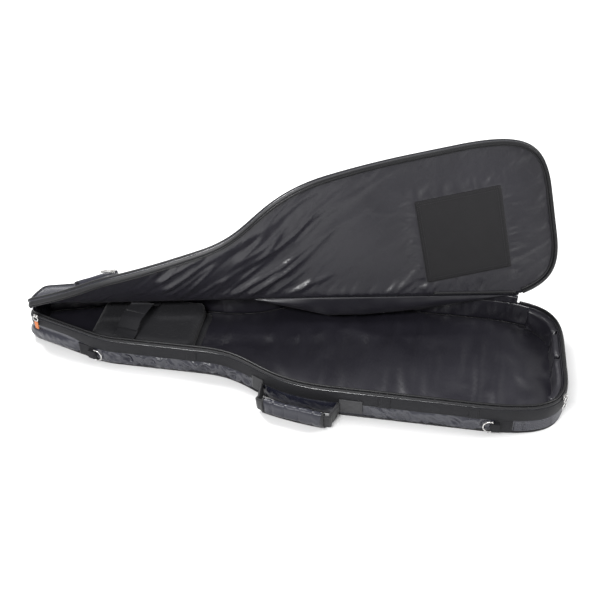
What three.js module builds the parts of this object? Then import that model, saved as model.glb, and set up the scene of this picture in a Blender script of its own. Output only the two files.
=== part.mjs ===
// Padded gig bag for a long-scale bass guitar, lying on its back with the zip undone and the lid up.
// Millimetres. +X runs from the tip to the tail, +Z is up, and the origin is the middle of the underside.
// "Near" is -Y, the long side that the zip opens. "Far" is +Y, the side that the lid folds towards.
import * as THREE from 'three';

// Plan outline: a flat tip, a straight taper, a straight neck, a shoulder, the body and a tail with round corners.
const LENGTH = 1184;
const BODY_WIDTH = 368;
const NECK_WIDTH = 214;
const TIP_FLAT = 60;
const TIP_CORNER = { x: 17, y: 52, bulge: 48 };
const TAPER_END = { x: -432, y: 97 };
const NECK_START_X = -372;
const NECK_CORNER_X = -402;
const SHOULDER_START_X = -178;
const SHOULDER_END_X = 114;
const SHOULDER_PULL = { neck: 120, body: 170 };
const TAIL_CORNER = { x: 400, y: 52, pullX: 155, pullY: 100 };
const CURVE_STEPS = 7;

// Heights of the layers, from the floor up
const GAP = 0.4;
const BASE_TOP = 10;
const LINING_TOP = 14;
const GUARD_TOP = 35.6;
const WEBBING_BOTTOM = 36;
const WALL_TOP = 66;
const TAPE_TOP = 72;
const ZIP_PLANE = 75;
const LID_GUSSET_BOTTOM = 78;
const PANEL_BOTTOM = 87;
const CLOSED_HEIGHT = 95;
const POCKET_TOP = 117;
const TOOTH_HEIGHT = 2.4;

// Depths inward from the outline
const SKIN = 1.6;
const WALL_FACE = 2;
const WALL_BACK = 11;
const LINING_EDGE = 13;

// The lid folds along a straight line in its outer face, from the tip to the far tail corner.
const HINGE_TIP = new THREE.Vector2(-587, -31);
const HINGE_TAIL = new THREE.Vector2(503, 178);
const HINGE_GAP = 0.8;
// The padded lid twists as it opens, so it is four stiff lengths on one line, each with its own angle.
// Each length starts and ends at a distance from HINGE_TIP along the fold.
const LID_LENGTHS = {
  tip: { from: -10, to: 115, open: 56 },
  neck: { from: 115, to: 340, open: 65 },
  shoulder: { from: 340, to: 640, open: 88 },
  body: { from: 640, to: 1230, open: 109 },
};
const LID_CUT_GAP = 0.6;

const COLOURS = {
  nylon: 0x4b4b55,
  lining: 0x3d3d46,
  webbing: 0x26262a,
  coil: 0x1d1d20,
  pad: 0x2c2c31,
  patch: 0x3b3a40,
  nickel: 0xc9c9cc,
  leather: 0xc4622d,
};

const bag = new THREE.Group();

// ---------- outline ----------

function halfOutline() {
  const tip = -LENGTH / 2;
  const tail = LENGTH / 2;
  const neck = -NECK_WIDTH / 2;
  const body = -BODY_WIDTH / 2;
  const path = new THREE.Path();
  path.moveTo(tip, 0);
  path.lineTo(tip, -TIP_FLAT / 2);
  path.quadraticCurveTo(tip, -TIP_CORNER.bulge, tip + TIP_CORNER.x, -TIP_CORNER.y);
  path.lineTo(TAPER_END.x, -TAPER_END.y);
  path.quadraticCurveTo(NECK_CORNER_X, neck, NECK_START_X, neck);
  path.lineTo(SHOULDER_START_X, neck);
  const pull = [SHOULDER_START_X + SHOULDER_PULL.neck, SHOULDER_END_X - SHOULDER_PULL.body];
  path.bezierCurveTo(pull[0], neck, pull[1], body, SHOULDER_END_X, body);
  const { x, y, pullX, pullY } = TAIL_CORNER;
  path.lineTo(x, body);
  path.bezierCurveTo(x + pullX, body, tail, -y - pullY, tail, -y);
  path.lineTo(tail, 0);
  return path.getPoints(CURVE_STEPS);
}

function outwardNormals(points) {
  return points.map((point, i) => {
    if (i === 0) return new THREE.Vector2(-1, 0);
    if (i === points.length - 1) return new THREE.Vector2(1, 0);
    const before = point.clone().sub(points[i - 1]).normalize();
    const after = points[i + 1].clone().sub(point).normalize();
    const along = before.clone().add(after).normalize();
    return new THREE.Vector2(along.y, -along.x).divideScalar(along.dot(after));
  });
}

function distancesAlong(points) {
  const distances = [0];
  for (let i = 1; i < points.length; i += 1) {
    distances.push(distances[i - 1] + points[i].distanceTo(points[i - 1]));
  }
  return distances;
}

const half = halfOutline();
const normals = outwardNormals(half);
const stations = distancesAlong(half);
const TAIL_STATION = stations.at(-1);

// A station is a distance along the outline from the tip's middle: positive along the near side,
// past TAIL_STATION it comes back along the far side, and negative runs straight onto the far side.
function edgePoint(station, inset) {
  const mirrored = station < 0 || station > TAIL_STATION;
  const s = Math.abs(station) > TAIL_STATION ? 2 * TAIL_STATION - Math.abs(station) : Math.abs(station);
  const i = Math.min(stations.findLastIndex((d) => d <= s + 1e-9), half.length - 2);
  const t = (s - stations[i]) / (stations[i + 1] - stations[i]);
  const [a, b] = [i, i + 1].map((k) => half[k].clone().addScaledVector(normals[k], -inset));
  const point = a.lerp(b, t);
  return mirrored ? new THREE.Vector2(point.x, -point.y) : point;
}

function stopsBetween(from, to) {
  const all = stations.flatMap((s) => [-s, s, 2 * TAIL_STATION - s]);
  const inside = all.filter((s) => s > from + 0.5 && s < to - 0.5).sort((a, b) => a - b);
  const unique = inside.filter((s, i) => i === 0 || s - inside[i - 1] > 0.5);
  return [from, ...unique, to];
}

// The near-side station whose outline point has this x
function stationAtX(x) {
  const i = half.findLastIndex((point) => point.x <= x);
  const t = (x - half[i].x) / (half[i + 1].x - half[i].x);
  return stations[i] + t * (stations[i + 1] - stations[i]);
}

function outline(inset) {
  return stopsBetween(-TAIL_STATION, TAIL_STATION).slice(0, -1).map((s) => edgePoint(s, inset));
}

function strip(from, to, outer, inner) {
  const stops = stopsBetween(from, to);
  const outside = stops.map((s) => edgePoint(s, outer));
  const inside = stops.map((s) => edgePoint(s, inner)).reverse();
  return [...outside, ...inside];
}

// Keeps the part of a polygon on the side of the line through origin that normal points to
function clip(points, origin, normal) {
  const side = points.map((point) => point.clone().sub(origin).dot(normal));
  return points.flatMap((point, i) => {
    const j = (i + 1) % points.length;
    const kept = side[i] >= 0 ? [point] : [];
    if (side[i] >= 0 === side[j] >= 0) return kept;
    return [...kept, point.clone().lerp(points[j], side[i] / (side[i] - side[j]))];
  });
}

// ---------- hinge line ----------

const hingeAlong = HINGE_TAIL.clone().sub(HINGE_TIP).normalize();
const hingeNear = new THREE.Vector2(hingeAlong.y, -hingeAlong.x);

function hingePoint(along, near) {
  return HINGE_TIP.clone().addScaledVector(hingeAlong, along).addScaledVector(hingeNear, near);
}

function nearOfHinge(points, gap = HINGE_GAP) {
  return clip(points, hingePoint(0, gap), hingeNear);
}

function farOfHinge(points, gap = HINGE_GAP) {
  return clip(points, hingePoint(0, -gap), hingeNear.clone().negate());
}

function betweenCuts(points, from, to) {
  const start = clip(points, hingePoint(from + LID_CUT_GAP, 0), hingeAlong);
  return clip(start, hingePoint(to - LID_CUT_GAP, 0), hingeAlong.clone().negate());
}

// Stations where the zip starts at the tip and ends at the far tail corner
function hingeCrossings() {
  const stops = stopsBetween(0, 2 * TAIL_STATION);
  const side = stops.map((s) => edgePoint(s, 0).sub(HINGE_TIP).dot(hingeNear));
  const found = [];
  for (let i = 1; i < stops.length; i += 1) {
    if (side[i - 1] >= 0 === side[i] >= 0) continue;
    const t = side[i - 1] / (side[i - 1] - side[i]);
    found.push(stops[i - 1] + t * (stops[i] - stops[i - 1]));
  }
  return found;
}

const [ZIP_START, ZIP_END] = hingeCrossings();
const OVERRUN = 45;

function zipStrip(outer, inner) {
  return nearOfHinge(strip(ZIP_START - OVERRUN / 2, ZIP_END + OVERRUN, outer, inner));
}

function farStrip(outer, inner) {
  const from = ZIP_END - 2 * TAIL_STATION - OVERRUN;
  return farOfHinge(strip(from, ZIP_START + OVERRUN / 2, outer, inner));
}

// ---------- solids and materials ----------

function prism(shape, bottom, top, bevel = 0) {
  const outlineShape = shape instanceof THREE.Shape ? shape : new THREE.Shape(shape);
  const geometry = new THREE.ExtrudeGeometry(outlineShape, {
    depth: top - bottom - 2 * bevel,
    bevelEnabled: bevel > 0,
    bevelThickness: bevel,
    bevelSize: bevel,
    bevelOffset: -bevel,
    bevelSegments: 2,
    curveSegments: 4,
  });
  return geometry.translate(0, 0, bottom + bevel);
}

function ring(outer, inner) {
  const shape = new THREE.Shape(outline(outer));
  shape.holes.push(new THREE.Path(outline(inner)));
  return shape;
}

function rectangle(x0, y0, x1, y1) {
  return [[x0, y0], [x1, y0], [x1, y1], [x0, y1]].map(([x, y]) => new THREE.Vector2(x, y));
}

function roundedRectangle(width, height, radius) {
  const [w, h] = [width / 2, height / 2];
  const shape = new THREE.Shape();
  shape.moveTo(-w + radius, -h);
  shape.lineTo(w - radius, -h);
  shape.absarc(w - radius, -h + radius, radius, -Math.PI / 2, 0);
  shape.absarc(w - radius, h - radius, radius, 0, Math.PI / 2);
  shape.absarc(-w + radius, h - radius, radius, Math.PI / 2, Math.PI);
  shape.absarc(-w + radius, -h + radius, radius, Math.PI, 1.5 * Math.PI);
  return shape;
}

function surface(colour, roughness, metalness = 0) {
  return new THREE.MeshStandardMaterial({ color: colour, roughness, metalness });
}

const fabric = (colour) => surface(colour, 0.75);
const metal = () => surface(COLOURS.nickel, 0.28, 1);

function add(parent, name, geometry, material) {
  const mesh = new THREE.Mesh(geometry, material);
  mesh.name = name;
  parent.add(mesh);
  return mesh;
}

// A group whose local X runs along the outline, local Y points out of the wall and Z is up
function onWall(parent, station, outward, height) {
  const ahead = edgePoint(station + 1, 0).sub(edgePoint(station - 1, 0));
  const spot = edgePoint(station, -outward);
  const group = new THREE.Group();
  group.position.set(spot.x, spot.y, height);
  group.rotation.z = Math.atan2(ahead.y, ahead.x);
  parent.add(group);
  return group;
}

// ---------- tray ----------

const TIP_END = stationAtX(-LENGTH / 2 + TIP_CORNER.x + 4);
const TAIL_START = stationAtX(TAIL_CORNER.x);
const SEAM = 0.3;

function addBase() {
  add(bag, 'back_panel', prism(outline(WALL_FACE), 0, BASE_TOP, 3), fabric(COLOURS.nylon));
  const lining = prism(outline(LINING_EDGE), BASE_TOP + GAP, LINING_TOP, 1);
  add(bag, 'floor_lining', lining, fabric(COLOURS.lining));
  add(bag, 'base_piping', prism(ring(0, SKIN), 2, 7), fabric(COLOURS.webbing));
}

function addWalls() {
  const back = 2 * TAIL_STATION;
  const runs = {
    wall_tip: [-TIP_END, TIP_END],
    wall_near: [TIP_END, TAIL_START],
    wall_tail: [TAIL_START, back - TAIL_START],
    wall_far: [-TAIL_START, -TIP_END],
  };
  for (const [name, [from, to]] of Object.entries(runs)) {
    const plan = strip(from + SEAM, to - SEAM, WALL_FACE, WALL_BACK);
    add(bag, name, prism(plan, BASE_TOP + GAP, WALL_TOP), fabric(COLOURS.nylon));
  }
  const upper = prism(farStrip(WALL_FACE, WALL_BACK), WALL_TOP + GAP, PANEL_BOTTOM - GAP);
  add(bag, 'gusset_upper_far', upper, fabric(COLOURS.nylon));
}

function addRim() {
  const webbing = prism(ring(0, SKIN), WEBBING_BOTTOM, WALL_TOP - GAP);
  add(bag, 'rim_webbing', webbing, fabric(COLOURS.webbing));
  const piping = prism(zipStrip(2, 5.6), WALL_TOP + GAP, TAPE_TOP - 1);
  add(bag, 'rim_piping', piping, fabric(COLOURS.webbing));
  const tape = prism(zipStrip(6.2, 7.8), WALL_TOP + GAP, TAPE_TOP);
  add(bag, 'zip_tape_lower', tape, fabric(COLOURS.webbing));
  const teethBottom = TAPE_TOP + GAP;
  const teeth = prism(zipStrip(5, 9), teethBottom, teethBottom + TOOTH_HEIGHT);
  add(bag, 'zip_coil_lower', teeth, fabric(COLOURS.coil));
}

// The strip of front panel beyond the fold, which stays sewn to the far wall
function addFixedFront() {
  const plan = farOfHinge(outline(WALL_FACE));
  add(bag, 'front_panel_strip', prism(plan, PANEL_BOTTOM, CLOSED_HEIGHT), fabric(COLOURS.nylon));
}

// ---------- inside: neck rest, strap and tail bumpers ----------

const NECK_REST = { from: -440, to: -214, halfWidth: 80, bottom: LINING_TOP + GAP, split: 24, top: 60 };
const STRAP = { x: -346, width: 48, thickness: 2, turn: -0.19, top: 84 };

function addNeckRest() {
  const { from, to, halfWidth, bottom, split, top } = NECK_REST;
  const base = rectangle(from - 4, -halfWidth, to + 14, halfWidth);
  add(bag, 'neck_rest_base', prism(base, bottom, split, 3), fabric(COLOURS.pad));
  const block = rectangle(from, -halfWidth + 3, to, halfWidth - 3);
  add(bag, 'neck_rest_block', prism(block, split + GAP, top, 8), fabric(COLOURS.pad));
}

// The section of a band of constant thickness whose lower or outer face follows these points
function bandSection(points, thickness) {
  const line = points.map(([x, y]) => new THREE.Vector2(x, y));
  const offset = line.map((point, i) => {
    const ahead = line[Math.min(i + 1, line.length - 1)].clone().sub(line[Math.max(i - 1, 0)]);
    return point.clone().add(new THREE.Vector2(-ahead.y, ahead.x).setLength(thickness));
  });
  return [...line, ...offset.reverse()];
}

// A webbing band that arches across the bag, from points given as [across, height]
function archedBand(points, width, thickness) {
  const band = prism(bandSection(points, thickness), -width / 2, width / 2);
  return band.rotateX(Math.PI / 2).rotateZ(Math.PI / 2);
}

function addNeckStrap() {
  const group = new THREE.Group();
  group.position.set(STRAP.x, -8, 0);
  group.rotation.z = STRAP.turn;
  bag.add(group);
  const rest = NECK_REST.top + 1;
  const lower = [[-74, rest], [-62, rest], [-48, 67], [-36, 76.5]];
  const arch = [[-12.5, STRAP.top], [14, STRAP.top], [28, STRAP.top - 3], [38, 70], [50, rest + 0.6], [62, rest]];
  const flap = [[-54, 68], [-43, 76], [-30, STRAP.top - 1], [-13, STRAP.top]];
  for (const [name, points] of Object.entries({ near: lower, arch, flap })) {
    const band = archedBand(points, STRAP.width, STRAP.thickness);
    add(group, `neck_strap_${name}`, band, fabric(COLOURS.webbing));
  }
}

function addTailBumpers() {
  const spans = { tail_bumper_near: [-152, -8], tail_bumper_middle: [2, 76], tail_bumper_far: [86, 200] };
  for (const [name, [from, to]] of Object.entries(spans)) {
    const plan = strip(TAIL_STATION + from, TAIL_STATION + to, WALL_BACK + 1, WALL_BACK + 17);
    add(bag, name, prism(plan, LINING_TOP + GAP, WALL_TOP + 3, 4), fabric(COLOURS.pad));
  }
}

// ---------- outside of the tray: tail guard, D-rings and carrying handle ----------

const GUARD_START_X = 486;

function addTailGuard() {
  const start = stationAtX(GUARD_START_X);
  const plan = strip(start, 2 * TAIL_STATION - start, 0, SKIN);
  add(bag, 'tail_guard', prism(plan, 7 + GAP, GUARD_TOP), fabric(COLOURS.webbing));
}

const D_RING = { height: 30, reach: 22, wire: 3.2, centre: 21 };
const TAB = { hole: 2.8, radius: 4.4, length: 14, height: 20 };

function dShape(height, reach) {
  const shape = new THREE.Shape();
  const bend = Math.min(reach, height / 2);
  shape.moveTo(0, -height / 2);
  shape.lineTo(reach - bend, -height / 2);
  shape.absarc(reach - bend, 0, bend, -Math.PI / 2, Math.PI / 2);
  shape.lineTo(0, height / 2);
  return shape;
}

function dRingGeometry() {
  const { height, reach, wire } = D_RING;
  const shape = dShape(height, reach);
  const inner = dShape(height - 2 * wire, reach - 2 * wire).getPoints(8);
  shape.holes.push(new THREE.Path(inner.map((point) => point.add(new THREE.Vector2(wire, 0)))));
  const ringSolid = prism(shape, -wire / 2, wire / 2);
  return ringSolid.translate(-wire / 2, 0, 0).rotateX(Math.PI / 2);
}

// A tab sewn to a vertical webbing band; its fold holds the straight bar of the ring.
function addDRing(place, bandStation, bandWidth) {
  const plan = strip(bandStation - bandWidth / 2, bandStation + bandWidth / 2, 0, SKIN);
  add(bag, `d_ring_band_${place}`, prism(plan, 7 + GAP, GUARD_TOP), fabric(COLOURS.webbing));
  const outward = TAB.radius + GAP;
  const side = place === 'neck' ? 1 : -1;
  const station = bandStation + side * (bandWidth / 2 + 4);
  const group = onWall(bag, station, outward, D_RING.centre);
  const tab = new THREE.Shape();
  tab.moveTo(0, -TAB.radius);
  tab.lineTo(TAB.length, -TAB.radius);
  tab.lineTo(TAB.length, TAB.radius);
  tab.lineTo(0, TAB.radius);
  tab.absarc(0, 0, TAB.radius, Math.PI / 2, 1.5 * Math.PI);
  tab.holes.push(new THREE.Path().absarc(0, 0, TAB.hole, 0, 2 * Math.PI));
  const loop = prism(tab, -TAB.height / 2, TAB.height / 2);
  const turn = side > 0 ? Math.PI : 0;
  add(group, `d_ring_tab_${place}`, loop.rotateZ(turn), fabric(COLOURS.webbing));
  add(group, `d_ring_${place}`, dRingGeometry().rotateZ(Math.PI - turn), metal());
}

const HANDLE = {
  left: -34,
  right: 130,
  height: 31,
  stand: 6,
  droop: 0.17,
  anchor: { left: 28, right: 48, height: 34, thickness: 2.4 },
  web: { width: 34, thickness: 3, bow: 43, splay: 18 },
  grip: { length: 132, width: 40, thickness: 15, radius: 7 },
};

function addHandleAnchors() {
  const { height, anchor } = HANDLE;
  const spans = {
    handle_anchor_left: [stationAtX(HANDLE.left) - anchor.left, stationAtX(HANDLE.left)],
    handle_anchor_right: [stationAtX(HANDLE.right), stationAtX(HANDLE.right) + anchor.right],
  };
  for (const [name, [from, to]] of Object.entries(spans)) {
    const plan = strip(from, to, -GAP - anchor.thickness, -GAP);
    const plate = prism(plan, height - anchor.height / 2, height + anchor.height / 2);
    add(bag, name, plate, fabric(COLOURS.webbing));
  }
}

// The handle bows out from the chord between its anchors: local X runs along the chord, -Y points out.
function handleGroup(ends) {
  const pivot = new THREE.Group();
  pivot.position.set(ends[0].x, ends[0].y, HANDLE.height);
  pivot.rotation.z = ends[1].clone().sub(ends[0]).angle();
  const swing = new THREE.Group();
  swing.rotation.x = HANDLE.droop;
  pivot.add(swing);
  bag.add(pivot);
  return swing;
}

function addHandle() {
  const ends = [HANDLE.left, HANDLE.right].map((x) => edgePoint(stationAtX(x), -HANDLE.stand));
  const span = ends[0].distanceTo(ends[1]);
  const swing = handleGroup(ends);
  const { web, grip } = HANDLE;
  const gripStart = (span - grip.length) / 2;
  const leg = [[0, 0], [web.splay / 3, -web.bow * 0.7], [web.splay, -web.bow]];
  const otherLeg = leg.map(([x, y]) => [span - x, y]).reverse();
  const section = bandSection([...leg, ...otherLeg], web.thickness);
  const webbing = prism(section, -web.width / 2, web.width / 2);
  add(swing, 'handle_webbing', webbing, fabric(COLOURS.webbing));
  const sleeve = roundedRectangle(grip.width, grip.thickness, grip.radius);
  const slot = roundedRectangle(web.width + 2 * GAP, web.thickness + 2 * GAP, 1);
  sleeve.holes.push(new THREE.Path(slot.getPoints(4)));
  const wrap = prism(sleeve, 0, grip.length).rotateY(Math.PI / 2);
  wrap.translate(gripStart, -web.bow + web.thickness / 2, 0);
  add(swing, 'handle_grip', wrap, fabric(COLOURS.webbing));
}

// ---------- lid ----------

function lidGroup(angle) {
  const pivot = new THREE.Group();
  pivot.position.set(HINGE_TIP.x, HINGE_TIP.y, CLOSED_HEIGHT);
  const axis = new THREE.Vector3(hingeAlong.x, hingeAlong.y, 0);
  pivot.quaternion.setFromAxisAngle(axis, -THREE.MathUtils.degToRad(angle));
  const closed = new THREE.Group();
  closed.position.copy(pivot.position).negate();
  pivot.add(closed);
  bag.add(pivot);
  return closed;
}

function addLidLength(place) {
  const { from, to, open } = LID_LENGTHS[place];
  const group = lidGroup(open);
  const cut = (plan) => betweenCuts(plan, from, to);
  const panel = prism(cut(nearOfHinge(outline(WALL_FACE))), PANEL_BOTTOM, CLOSED_HEIGHT);
  add(group, `lid_panel_${place}`, panel, fabric(COLOURS.nylon));
  const gusset = prism(cut(zipStrip(WALL_FACE, 8)), LID_GUSSET_BOTTOM, PANEL_BOTTOM - GAP);
  add(group, `lid_gusset_${place}`, gusset, fabric(COLOURS.lining));
  const coilBottom = ZIP_PLANE + GAP / 2;
  const coil = prism(cut(zipStrip(5, 9)), coilBottom, coilBottom + TOOTH_HEIGHT);
  add(group, `zip_coil_upper_${place}`, coil, fabric(COLOURS.coil));
  return group;
}

const PATCH = { x0: 293, x1: 483, y0: -80, y1: 108 };
const POCKET_EDGE = 24;
const POCKET_CLEAR = 62;

function addLiningPatch(group) {
  const plan = rectangle(PATCH.x0, PATCH.y0, PATCH.x1, PATCH.y1);
  const patch = prism(plan, PANEL_BOTTOM - GAP - 1.2, PANEL_BOTTOM - GAP);
  add(group, 'lining_patch', patch, fabric(COLOURS.patch));
}

function addMainPocket(group) {
  const beyond = clip(nearOfHinge(outline(POCKET_EDGE), POCKET_CLEAR), hingePoint(665, 0), hingeAlong);
  const pocket = prism(beyond, CLOSED_HEIGHT + GAP, POCKET_TOP, 7);
  add(group, 'main_pocket', pocket, fabric(COLOURS.nylon));
  const zip = strip(stationAtX(110), TAIL_STATION + 90, POCKET_EDGE - 2, POCKET_EDGE - GAP);
  add(group, 'main_pocket_zip', prism(zip, CLOSED_HEIGHT + 9, CLOSED_HEIGHT + 15), fabric(COLOURS.coil));
  const badge = prism(roundedRectangle(96, 42, 6), POCKET_TOP + GAP, POCKET_TOP + GAP + 1.4);
  add(group, 'badge_blank', badge.translate(330, -20, 0), surface(COLOURS.webbing, 0.5));
}

const NECK_POCKET = { x0: -468, x1: -362, near: 10, far: 14 };

function addNeckPocket(group) {
  const { x0, x1, near, far } = NECK_POCKET;
  const along = new THREE.Vector2(1, 0);
  const right = clip(nearOfHinge(outline(near), far), new THREE.Vector2(x1, 0), along.clone().negate());
  const plan = clip(right, new THREE.Vector2(x0, 0), along);
  add(group, 'neck_pocket', prism(plan, CLOSED_HEIGHT + GAP, POCKET_TOP, 6), fabric(COLOURS.nylon));
  const zip = strip(stationAtX(x0 + 6), stationAtX(x1 - 6), near - 2, near - GAP);
  add(group, 'neck_pocket_zip', prism(zip, CLOSED_HEIGHT + 8, CLOSED_HEIGHT + 14), fabric(COLOURS.coil));
}

// ---------- zip sliders and pulls ----------

const SLIDER = { length: 11, width: 9, thickness: 4 };
const PULL = { length: 26, width: 7, thickness: 1.6 };

// A slider lies on the outside of its zip, and its pull hangs from the outer face.
function addSlider(parent, name, station, outward, height) {
  const group = onWall(parent, station, outward + SLIDER.thickness / 2 + GAP, height);
  const body = prism(roundedRectangle(SLIDER.length, SLIDER.thickness, 1.5), -SLIDER.width / 2, SLIDER.width / 2);
  add(group, name, body, metal());
  const face = new THREE.Group();
  face.position.y = -SLIDER.thickness / 2 - GAP;
  group.add(face);
  return face;
}

// The plate lies against the zip and points towards +X or -X of the slider's own group.
function addPull(face, name, direction) {
  const plate = roundedRectangle(PULL.length, PULL.width, 3);
  plate.holes.push(new THREE.Path().absarc(-direction * (PULL.length / 2 - 4), 0, 1.6, 0, 2 * Math.PI));
  const pull = prism(plate, 0, PULL.thickness).rotateX(Math.PI / 2);
  add(face, name, pull.translate(direction * (PULL.length / 2 - 0.5), 0, 0), metal());
}

function flatRing(outerRadius, innerRadius, thickness) {
  const shape = new THREE.Shape().absarc(0, 0, outerRadius, 0, 2 * Math.PI);
  shape.holes.push(new THREE.Path().absarc(0, 0, innerRadius, 0, 2 * Math.PI));
  return prism(shape, 0, thickness).rotateX(Math.PI / 2);
}

const TIP_TAG = { width: 9, length: 20, thickness: 2 };
const LINK = { outer: 8, inner: 5.6, thickness: 1.8 };

function addTipZipPull() {
  const face = addSlider(bag, 'tip_slider', stationAtX(-LENGTH / 2 + TIP_CORNER.x + 6), 0, ZIP_PLANE - 2);
  const drop = -LINK.outer + 3;
  add(face, 'tip_link', flatRing(LINK.outer, LINK.inner, LINK.thickness).translate(0, 0, drop), metal());
  const tag = prism(roundedRectangle(TIP_TAG.width, TIP_TAG.length, 2), 0, TIP_TAG.thickness);
  tag.rotateX(Math.PI / 2).translate(0, 0, drop - LINK.outer - GAP - TIP_TAG.length / 2);
  add(face, 'tip_tag', tag, surface(COLOURS.leather, 0.6));
}

function addTailZipPull() {
  const face = addSlider(bag, 'tail_slider', TAIL_STATION - 128, 0, ZIP_PLANE - 6);
  const drop = -LINK.outer + 3;
  const upper = flatRing(LINK.outer, LINK.inner, LINK.thickness).translate(0, 0, drop);
  add(face, 'tail_pull_link', upper, metal());
  const lower = flatRing(LINK.outer + 1, LINK.inner + 1, LINK.thickness);
  add(face, 'tail_pull_ring', lower.translate(0, 0, drop - 2 * LINK.outer - 1 - GAP), metal());
}

// ---------- assembly ----------

addBase();
addWalls();
addRim();
addFixedFront();
addNeckRest();
addNeckStrap();
addTailBumpers();
addTailGuard();
addDRing('body', stationAtX(464), 36);
addDRing('neck', stationAtX(-446), 40);
addHandleAnchors();
addHandle();

addLidLength('tip');
const neckLid = addLidLength('neck');
addLidLength('shoulder');
const bodyLid = addLidLength('body');
addLiningPatch(bodyLid);
addMainPocket(bodyLid);
addNeckPocket(neckLid);

addTipZipPull();
addTailZipPull();
const mainZipStart = stationAtX(270);
const mainFace = addSlider(bodyLid, 'main_pocket_slider', mainZipStart, 2 - POCKET_EDGE, CLOSED_HEIGHT + 12);
addPull(mainFace, 'main_pocket_pull', 1);
const neckZipEnd = stationAtX(NECK_POCKET.x1 - 8);
const neckFace = addSlider(neckLid, 'neck_pocket_slider', neckZipEnd, 2 - NECK_POCKET.near, CLOSED_HEIGHT + 11);
addPull(neckFace, 'neck_pocket_pull', -1);

export default bag;
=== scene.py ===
import math

import bmesh
import bpy
import numpy as np
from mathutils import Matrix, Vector, noise
from mathutils.geometry import delaunay_2d_cdt


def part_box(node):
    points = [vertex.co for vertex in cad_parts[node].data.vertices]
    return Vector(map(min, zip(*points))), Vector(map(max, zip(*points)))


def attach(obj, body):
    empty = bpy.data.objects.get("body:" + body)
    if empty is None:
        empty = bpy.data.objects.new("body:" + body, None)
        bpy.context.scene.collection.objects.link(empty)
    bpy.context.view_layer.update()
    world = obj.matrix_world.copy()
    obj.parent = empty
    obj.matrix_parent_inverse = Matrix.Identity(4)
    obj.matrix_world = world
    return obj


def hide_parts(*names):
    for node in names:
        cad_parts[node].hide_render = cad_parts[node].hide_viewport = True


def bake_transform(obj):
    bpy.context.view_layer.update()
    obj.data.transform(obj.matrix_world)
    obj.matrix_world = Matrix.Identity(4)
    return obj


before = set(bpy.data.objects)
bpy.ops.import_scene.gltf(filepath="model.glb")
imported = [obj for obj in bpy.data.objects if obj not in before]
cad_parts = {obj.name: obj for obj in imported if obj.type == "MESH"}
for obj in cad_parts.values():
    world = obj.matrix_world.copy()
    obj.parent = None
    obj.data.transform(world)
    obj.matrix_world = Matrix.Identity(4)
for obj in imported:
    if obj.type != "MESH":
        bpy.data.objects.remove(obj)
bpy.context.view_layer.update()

# Lengths below are in millimetres and become metres when a mesh is made.
MM = 0.001

# ---------- driving sizes, as in the CAD ----------

RIM_LOW, RIM_HIGH = (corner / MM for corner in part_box("rim_webbing"))
LENGTH = RIM_HIGH.x - RIM_LOW.x
BODY_HALF = (RIM_HIGH.y - RIM_LOW.y) / 2
NECK_HALF = 107
TIP_HALF_FLAT = 30
TIP_CORNER = (17, 52, 48)
TAPER_END = (-432, 97)
NECK_CORNER_X = -402
NECK_START_X = -372
SHOULDER_START_X = -178
SHOULDER_END_X = 114
SHOULDER_PULLS = (120, 170)
TAIL_CORNER = (400, 52)
TAIL_PULLS = (155, 100)

BASE_TOP = 10.0
FLOOR_TOP = 14
WEBBING_BOTTOM = RIM_LOW.z
WEBBING_TOP = 65.6
LID_LINING_HEIGHT = 87.0
CLOSED_HEIGHT = 95
POCKET_HEIGHTS = (95.6, 116.5)

HINGE_TIP = np.array([-587.0, -31.0])
HINGE_TAIL = np.array([503.0, 178.0])
BODY_OPEN = 109
TIP_OPEN = 56
TWIST_STARTS = 850
TWIST_ENDS = -15

SEED = 7


# ---------- lines ----------

def unit(rows):
    return rows / np.linalg.norm(rows, axis=1)[:, None]


def lengths_along(line):
    return np.concatenate([[0], np.cumsum(np.linalg.norm(np.diff(line, axis=0), axis=1))])


def at_length(s, distance, line):
    return np.column_stack([np.interp(s, distance, line[:, k]) for k in range(line.shape[1])])


def full_turn(count):
    return np.linspace(0, 2 * math.pi, count, endpoint=False)


# ---------- plan outline ----------

def bezier(points, count):
    t = np.linspace(0, 1, count, endpoint=False)[:, None]
    p = [np.array(point, float) for point in points]
    while len(p) > 1:
        p = [a * (1 - t) + b * t for a, b in zip(p[:-1], p[1:])]
    return p[0]


def near_outline():
    """The near half of the plan outline, from the tip's middle to the tail's middle."""
    tip, tail = -LENGTH / 2, LENGTH / 2
    corner = (tip + TIP_CORNER[0], -TIP_CORNER[1])
    neck_pull, body_pull = SHOULDER_PULLS
    runs = [
        [(tip, 0), (tip, -TIP_HALF_FLAT)],
        [(tip, -TIP_HALF_FLAT), (tip, -TIP_CORNER[2]), corner],
        [corner, (TAPER_END[0], -TAPER_END[1])],
        [(TAPER_END[0], -TAPER_END[1]), (NECK_CORNER_X, -NECK_HALF), (NECK_START_X, -NECK_HALF)],
        [(NECK_START_X, -NECK_HALF), (SHOULDER_START_X, -NECK_HALF)],
        [
            (SHOULDER_START_X, -NECK_HALF),
            (SHOULDER_START_X + neck_pull, -NECK_HALF),
            (SHOULDER_END_X - body_pull, -BODY_HALF),
            (SHOULDER_END_X, -BODY_HALF),
        ],
        [(SHOULDER_END_X, -BODY_HALF), (TAIL_CORNER[0], -BODY_HALF)],
        [
            (TAIL_CORNER[0], -BODY_HALF),
            (TAIL_CORNER[0] + TAIL_PULLS[0], -BODY_HALF),
            (tail, -TAIL_CORNER[1] - TAIL_PULLS[1]),
            (tail, -TAIL_CORNER[1]),
        ],
        [(tail, -TAIL_CORNER[1]), (tail, 0)],
    ]
    pieces = [bezier(run, 60) for run in runs]
    return np.vstack(pieces + [np.array([[tail, 0.0]])])


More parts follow.
